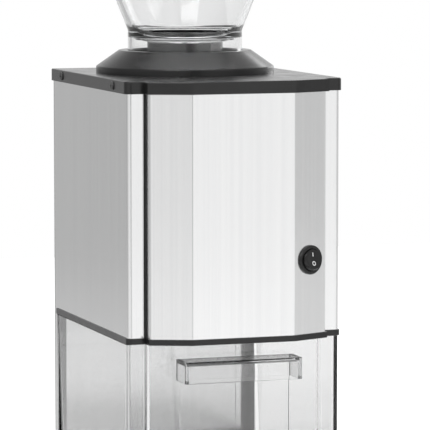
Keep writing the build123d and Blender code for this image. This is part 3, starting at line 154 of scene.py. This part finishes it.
def brushed_steel():
    """Stainless sheet: a fine vertical grain, slow streaks and a slight haze of handling."""
    steel = Finish("brushed_stainless", grey(0.74), 0.2, metallic=1.0, Anisotropic=0.2)
    grain = steel.noise((2400.0, 2400.0, 7.0), detail=2.0, roughness=0.6)
    streak = steel.noise((300.0, 300.0, 1.2), detail=2.0)
    cloud = steel.noise((9.0, 9.0, 7.0), detail=3.0)
    steel.set("Base Color", steel.blend(streak, (0.735, 0.737, 0.74), (0.765, 0.766, 0.766)))
    rough = steel.node(
        "ShaderNodeMath",
        {0: steel.between(grain, 0.17, 0.23), 1: steel.between(cloud, -0.015, 0.02)},
        operation="ADD",
    )
    steel.set("Roughness", rough.outputs["Value"])
    steel.relief(grain, 0.0005 * MM, 0.3)
    tangent = steel.node("ShaderNodeTangent", direction_type="RADIAL", axis="Z")
    steel.set("Tangent", tangent.outputs["Tangent"])
    return steel.material


def moulded_plastic(name, dark, light, roughness, grain_depth, **constants):
    """Opaque plastic with a fine spark-eroded texture and a faint mottle."""
    plastic = Finish(name, dark, roughness, **constants)
    mottle = plastic.noise((60.0, 60.0, 60.0), detail=3.0)
    grain = plastic.noise((1500.0, 1500.0, 1500.0), detail=2.0)
    plastic.set("Base Color", plastic.blend(mottle, dark, light))
    plastic.set("Roughness", plastic.between(mottle, roughness - 0.04, roughness + 0.04))
    plastic.relief(grain, grain_depth)
    return plastic.material


def clear_plastic(name, colour, tint, density, roughness, waviness):
    """Thick clear moulding, polished, with the slow waviness of the mould's flow."""
    clear = Finish(name, colour, roughness, Transmission_Weight=1.0, IOR=1.49)
    flow = clear.noise((22.0, 22.0, 13.0), detail=1.0)
    haze = clear.noise((45.0, 45.0, 45.0), detail=4.0)
    clear.set("Roughness", clear.between(haze, roughness * 0.5, roughness * 1.6))
    clear.relief(flow, waviness)
    depth = clear.node("ShaderNodeVolumeAbsorption", {"Color": (*tint, 1.0), "Density": density})
    out = clear.tree.nodes["Material Output"]
    clear.tree.links.new(depth.outputs["Volume"], out.inputs["Volume"])
    return clear.material


def rubber(name, dark, light):
    """Matt rubber with a dusty mottle."""
    made = Finish(name, dark, 0.75)
    dust = made.noise((180.0, 180.0, 180.0), detail=5.0, roughness=0.7)
    made.set("Base Color", made.blend(dust, dark, light))
    made.set("Roughness", made.between(dust, 0.65, 0.85))
    made.relief(dust, 0.03 * MM)
    return made.material


def turned_metal(name, dark, light, roughness, axis="X"):
    """Machined metal: fine rings along the axis that it was turned or ground on."""
    made = Finish(name, dark, roughness, metallic=1.0)
    along = {"X": (2200.0, 40.0, 40.0), "Z": (40.0, 40.0, 2200.0)}[axis]
    rings = made.noise(along, detail=2.0)
    stain = made.noise((90.0, 90.0, 90.0), detail=4.0, roughness=0.6)
    made.set("Base Color", made.blend(stain, dark, light))
    made.set("Roughness", made.between(rings, roughness - 0.08, roughness + 0.1))
    made.relief(rings, 0.008 * MM)
    return made.material


def cast_aluminium():
    """Die casting: bright grey with a blasted grain."""
    cast = Finish("cast_aluminium", grey(0.56), 0.5, metallic=1.0)
    grain = cast.noise((900.0, 900.0, 900.0), detail=4.0, roughness=0.65)
    cloud = cast.noise((30.0, 30.0, 30.0), detail=3.0)
    cast.set("Base Color", cast.blend(cloud, (0.5, 0.505, 0.515), (0.64, 0.64, 0.645)))
    cast.set("Roughness", cast.between(grain, 0.42, 0.6))
    cast.relief(grain, 0.05 * MM)
    return cast.material


def laminations():
    """Stack of varnished steel sheets, half a millimetre each, along X."""
    stack = Finish("laminations", grey(0.2), 0.45, metallic=0.8)
    sheets = stack.bands((100.0, 1.0, 1.0), "X")
    varnish = stack.noise((140.0, 140.0, 140.0), detail=3.0)
    stack.set("Base Color", stack.blend(varnish, (0.14, 0.125, 0.12), (0.27, 0.25, 0.24)))
    stack.set("Roughness", stack.between(sheets, 0.35, 0.55))
    stack.relief(sheets, 0.08 * MM)
    return stack.material


def enamel():
    """Black stove enamel with a slight orange peel."""
    coat = Finish("black_enamel", grey(0.02), 0.3, Coat_Weight=0.3, Coat_Roughness=0.12)
    peel = coat.noise((320.0, 320.0, 320.0), detail=1.0)
    coat.set("Base Color", coat.blend(peel, grey(0.016), grey(0.03)))
    coat.set("Roughness", coat.between(peel, 0.24, 0.36))
    coat.relief(peel, 0.02 * MM)
    return coat.material


CLEAR_TINT = (0.35, 0.38, 0.39)

finishes = {
    "brushed_steel": brushed_steel(),
    "black_plastic": moulded_plastic(
        "black_satin_plastic", grey(0.008), grey(0.012), 0.23, 0.012 * MM, Specular_IOR_Level=0.42
    ),
    "clear_plastic": clear_plastic(
        "clear_plastic", grey(0.99), CLEAR_TINT, 9.0, 0.02, 0.04 * MM
    ),
    "thick_clear_plastic": clear_plastic(
        "thick_clear_plastic", grey(0.985), CLEAR_TINT, 20.0, 0.02, 0.05 * MM
    ),
    "switch_black": moulded_plastic(
        "gloss_black_plastic", grey(0.006), grey(0.009), 0.18, 0.004 * MM, Specular_IOR_Level=0.4
    ),
    "black_rubber": rubber("black_rubber", grey(0.008), grey(0.018)),
    "grey_rubber": rubber("grey_silicone", grey(0.28), grey(0.36)),
    "dark_screw": turned_metal("blackened_screw", grey(0.07), grey(0.13), 0.38),
    "zinc_steel": turned_metal("zinc_plate", (0.58, 0.6, 0.62), (0.7, 0.71, 0.72), 0.3, axis="Z"),
    "white_plastic": moulded_plastic("white_acetal", grey(0.7), grey(0.77), 0.4, 0.015 * MM),
    "cast_aluminium": cast_aluminium(),
    "bronze": turned_metal("sintered_bronze", (0.46, 0.29, 0.13), (0.6, 0.4, 0.2), 0.38),
    "blade_steel": turned_metal("ground_stainless", grey(0.55), grey(0.68), 0.24),
    "gear_steel": turned_metal("oiled_gear_steel", (0.33, 0.33, 0.34), (0.47, 0.465, 0.46), 0.3),
    "dark_steel": enamel(),
    "lamination": laminations(),
}


def dress_nodes():
    """Gives each node of the frame the finish of its slot; hopper and lid are of a greyer kind."""
    for name, part in nodes.items():
        for slot in part.material_slots:
            slot_name = slot.material.name.split(".")[0]
            if name in ("hopper", "lid"):
                slot_name = "thick_" + slot_name
            slot.material = finishes[slot_name]


dress_nodes()


# ================================================================ marks on the rocker
FACET_ANGLE = math.atan2(12.6, 31.4)    # the right facet's lead over its width
MARK_RISE = 0.05 * MM
MARK_REACH = 30.0 * MM     # start of the rays that find the rocker's face
BAR_PLACE = 4.5 * MM       # above the rocker's middle
BAR_WIDTH = 0.8 * MM
BAR_LENGTH = 3.2 * MM
BAR_STEPS = 8
RING_PLACE = 2.5 * MM      # below the rocker's middle
RING_RADIUS = 1.4 * MM
RING_LINE = 0.7 * MM
RING_STEPS = 40


def box_middle(points):
    """Middle of the box round some points."""
    low = Vector([min(point[axis] for point in points) for axis in range(3)])
    high = Vector([max(point[axis] for point in points) for axis in range(3)])
    return (low + high) / 2


def rocker_face():
    """A function that lays a point, given across and up from the rocker's middle, on its face."""
    rocker = nodes["switch_rocker"]
    points = [rocker.matrix_world @ vertex.co for vertex in rocker.data.vertices]
    faces = [list(face.vertices) for face in rocker.data.polygons]
    surface = BVHTree.FromPolygons(points, faces)
    centre = box_middle(points)
    out = Vector((math.sin(FACET_ANGLE), -math.cos(FACET_ANGLE), 0.0))
    right = Vector((math.cos(FACET_ANGLE), math.sin(FACET_ANGLE), 0.0))
    up = Vector((0.0, 0.0, 1.0))

    def laid(across, rise):
        start = centre + right * across + up * rise + out * MARK_REACH
        hit = surface.ray_cast(start, -out)[0]
        return hit + out * MARK_RISE

    return laid


def bar_rows(laid):
    """Pairs of points up both sides of the I."""
    rises = [BAR_PLACE + (row / BAR_STEPS - 0.5) * BAR_LENGTH for row in range(BAR_STEPS + 1)]
    return [[laid(side * BAR_WIDTH / 2, rise) for side in (-1, 1)] for rise in rises]


def ring_rows(laid):
    """Pairs of points round both edges of the O."""
    radii = (RING_RADIUS - RING_LINE / 2, RING_RADIUS + RING_LINE / 2)
    turns = [2 * math.pi * row / RING_STEPS for row in range(RING_STEPS + 1)]
    return [
        [laid(radius * math.sin(turn), radius * math.cos(turn) - RING_PLACE) for radius in radii]
        for turn in turns
    ]


def print_mark(name, rows, ink):
    """Flat print between pairs of points, on the rocker."""
    mesh = bpy.data.meshes.new(name)
    bm = bmesh.new()
    made = [[bm.verts.new(point) for point in row] for row in rows]
    for below, above in zip(made, made[1:]):
        bm.faces.new((below[0], below[1], above[1], above[0]))
    bmesh.ops.recalc_face_normals(bm, faces=bm.faces)
    bm.to_mesh(mesh)
    bm.free()
    mesh.materials.append(ink)
    mark = bpy.data.objects.new(name, mesh)
    scene.collection.objects.link(mark)
    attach(mark, "rocker")


white_ink = moulded_plastic("white_print", grey(0.78), grey(0.84), 0.45, 0.002 * MM)
on_rocker = rocker_face()
print_mark("mark_on", bar_rows(on_rocker), white_ink)
print_mark("mark_off", ring_rows(on_rocker), white_ink)


# ================================================================ stage, light, camera
WORLD_LIGHT = 0.5
# azimuth in degrees from the front (+90 is the right) and level of what a reflection meets
STUDIO_LEVELS = [
    (-180.0, 0.85),
    (-169.0, 0.54),
    (-115.0, 0.5),
    (-60.0, 1.0),
    (-46.0, 1.0),
    (-34.0, 0.95),
    (-18.0, 0.92),
    (-12.0, 0.4),
    (-4.0, 0.4),
    (8.0, 1.15),
    (36.0, 1.1),
    (56.0, 0.7),
    (72.0, 0.7),
    (105.0, 0.85),
    (160.0, 0.98),
    (180.0, 0.85),
]
STUDIO_BRIGHTEST = 1.2
FLOOR_REACH = 1.7
FLOOR_COLOUR = 0.8
FLOOR_GLOW = 0.66
FLOOR_LIT = 0.7    # what the lamps and the world alone give the floor


def look_from(azimuth, elevation):
    """Unit vector from the object to a viewer."""
    return Vector(
        (
            math.sin(azimuth) * math.cos(elevation),
            -math.cos(azimuth) * math.cos(elevation),
            math.sin(elevation),
        )
    )


def maths(tree, operation, first, second, clamp=False):
    """Result of a maths node over sockets or numbers."""
    node = tree.nodes.new("ShaderNodeMath")
    node.operation = operation
    node.use_clamp = clamp
    for socket, value in zip(node.inputs, (first, second)):
        feed(tree, socket, value)
    return node.outputs[0]


def seen_directly(tree):
    """1 for the camera's rays and for those that metal and glass send on, else 0."""
    path = tree.nodes.new("ShaderNodeLightPath")
    seen = path.outputs["Is Camera Ray"]
    for ray in ("Is Glossy Ray", "Is Transmission Ray"):
        seen = maths(tree, "MAXIMUM", seen, path.outputs[ray])
    return seen


def studio_levels(tree, coordinates):
    """Level that a reflection meets round the studio: pale walls, a dim gap between two panels."""
    place = tree.nodes.new("ShaderNodeTexCoord")
    split = tree.nodes.new("ShaderNodeSeparateXYZ")
    tree.links.new(place.outputs[coordinates], split.inputs[0])
    front = maths(tree, "MULTIPLY", split.outputs["Y"], -1.0)
    turn = maths(tree, "ARCTAN2", split.outputs["X"], front)
    share = tree.nodes.new("ShaderNodeMapRange")
    share.inputs["From Min"].default_value = -math.pi
    share.inputs["From Max"].default_value = math.pi
    tree.links.new(turn, share.inputs["Value"])
    ramp = tree.nodes.new("ShaderNodeValToRGB")
    stops = ramp.color_ramp.elements
    while len(stops) < len(STUDIO_LEVELS):
        stops.new(0.5)
    for stop, (degrees, level) in zip(stops, STUDIO_LEVELS):
        stop.position = degrees / 360.0 + 0.5
        stop.color = (*grey(level / STUDIO_BRIGHTEST), 1.0)
    tree.links.new(share.outputs["Result"], ramp.inputs["Fac"])
    return maths(tree, "MULTIPLY", ramp.outputs["Color"], STUDIO_BRIGHTEST)


def choose(tree, factor, low, high):
    """A value: low where factor is 0 and high where it is 1."""
    pick = tree.nodes.new("ShaderNodeMapRange")
    tree.links.new(factor, pick.inputs["Value"])
    feed(tree, pick.inputs["To Min"], low)
    feed(tree, pick.inputs["To Max"], high)
    return pick.outputs["Result"]


def white_world():
    """White to the camera and through glass, the studio's walls to reflections, softer as a light."""
    world = bpy.data.worlds.new("studio")
    world.use_nodes = True
    scene.world = world
    tree = world.node_tree
    background = tree.nodes["Background"]
    path = tree.nodes.new("ShaderNodeLightPath")
    seen = choose(tree, path.outputs["Is Glossy Ray"], 1.0, studio_levels(tree, "Generated"))
    level = choose(tree, seen_directly(tree), WORLD_LIGHT, seen)
    tree.links.new(level, background.inputs["Strength"])
    background.inputs["Color"].default_value = (1.0, 1.0, 1.0, 1.0)


def make_floor():
    """Pale floor: what the camera sees of it is white outside the object's shadow."""
    mesh = bpy.data.meshes.new("floor")
    bm = bmesh.new()
    bmesh.ops.create_grid(bm, x_segments=8, y_segments=8, size=FLOOR_REACH)
    bm.to_mesh(mesh)
    bm.free()
    floor = bpy.data.objects.new("floor", mesh)
    scene.collection.objects.link(floor)
    pale = bpy.data.materials.new("pale_floor")
    pale.use_nodes = True
    tree = pale.node_tree
    tree.nodes.clear()
    diffuse = tree.nodes.new("ShaderNodeBsdfDiffuse")
    diffuse.inputs["Color"].default_value = (*grey(FLOOR_COLOUR), 1.0)
    glow = tree.nodes.new("ShaderNodeEmission")
    beyond = maths(tree, "SUBTRACT", studio_levels(tree, "Object"), FLOOR_LIT, clamp=True)
    path = tree.nodes.new("ShaderNodeLightPath")
    seen = choose(tree, path.outputs["Is Glossy Ray"], FLOOR_GLOW, beyond)
    tree.links.new(choose(tree, seen_directly(tree), 0.0, seen), glow.inputs["Strength"])
    both = tree.nodes.new("ShaderNodeAddShader")
    tree.links.new(diffuse.outputs[0], both.inputs[0])
    tree.links.new(glow.outputs[0], both.inputs[1])
    out = tree.nodes.new("ShaderNodeOutputMaterial")
    tree.links.new(both.outputs[0], out.inputs["Surface"])
    mesh.materials.append(pale)


def soft_box(name, place, target, width, height, power, mirrored=True):
    """Area light at place that faces target; not mirrored means that no reflection shows it."""
    lamp = bpy.data.lights.new(name, "AREA")
    lamp.shape = "RECTANGLE"
    lamp.size = width
    lamp.size_y = height
    lamp.energy = power
    made = bpy.data.objects.new(name, lamp)
    scene.collection.objects.link(made)
    made.visible_glossy = mirrored
    made.location = place
    made.rotation_mode = "QUATERNION"
    made.rotation_quaternion = (Vector(target) - Vector(place)).to_track_quat("-Z", "Y")


middle = (cad_box[0] + cad_box[1]) / 2

white_world()
make_floor()
soft_box("key", (-0.9, -1.6, 1.5), middle, 1.2, 1.2, 15.0)
soft_box("fill", (1.5, -1.2, 0.9), middle, 1.0, 1.4, 8.0, mirrored=False)
soft_box("top", (0.1, 0.2, 1.9), middle, 1.4, 1.4, 10.0)
soft_box("rim", (1.7, 1.4, 0.9), middle, 1.0, 1.2, 8.0)

CAMERA_AZIMUTH = math.radians(-18.69)
CAMERA_ELEVATION = math.radians(5.62)
CAMERA_DISTANCE = 2.6026
CAMERA_TARGET = Vector((0.01358, -0.00717, 0.22869))
SENSOR = 36.0
FOCAL_PIXELS = 3164.0
PHOTO_PIXELS = 430.0

camera = bpy.data.objects.new("camera", bpy.data.cameras.new("camera"))
scene.collection.objects.link(camera)
backwards = look_from(CAMERA_AZIMUTH, CAMERA_ELEVATION)
camera.location = CAMERA_TARGET + backwards * CAMERA_DISTANCE
camera.rotation_mode = "QUATERNION"
camera.rotation_quaternion = (-backwards).to_track_quat("-Z", "Y")
camera.data.sensor_width = SENSOR
camera.data.lens = FOCAL_PIXELS / PHOTO_PIXELS * SENSOR
camera.data.clip_end = 100.0
scene.camera = camera
scene.view_settings.view_transform = "Standard"
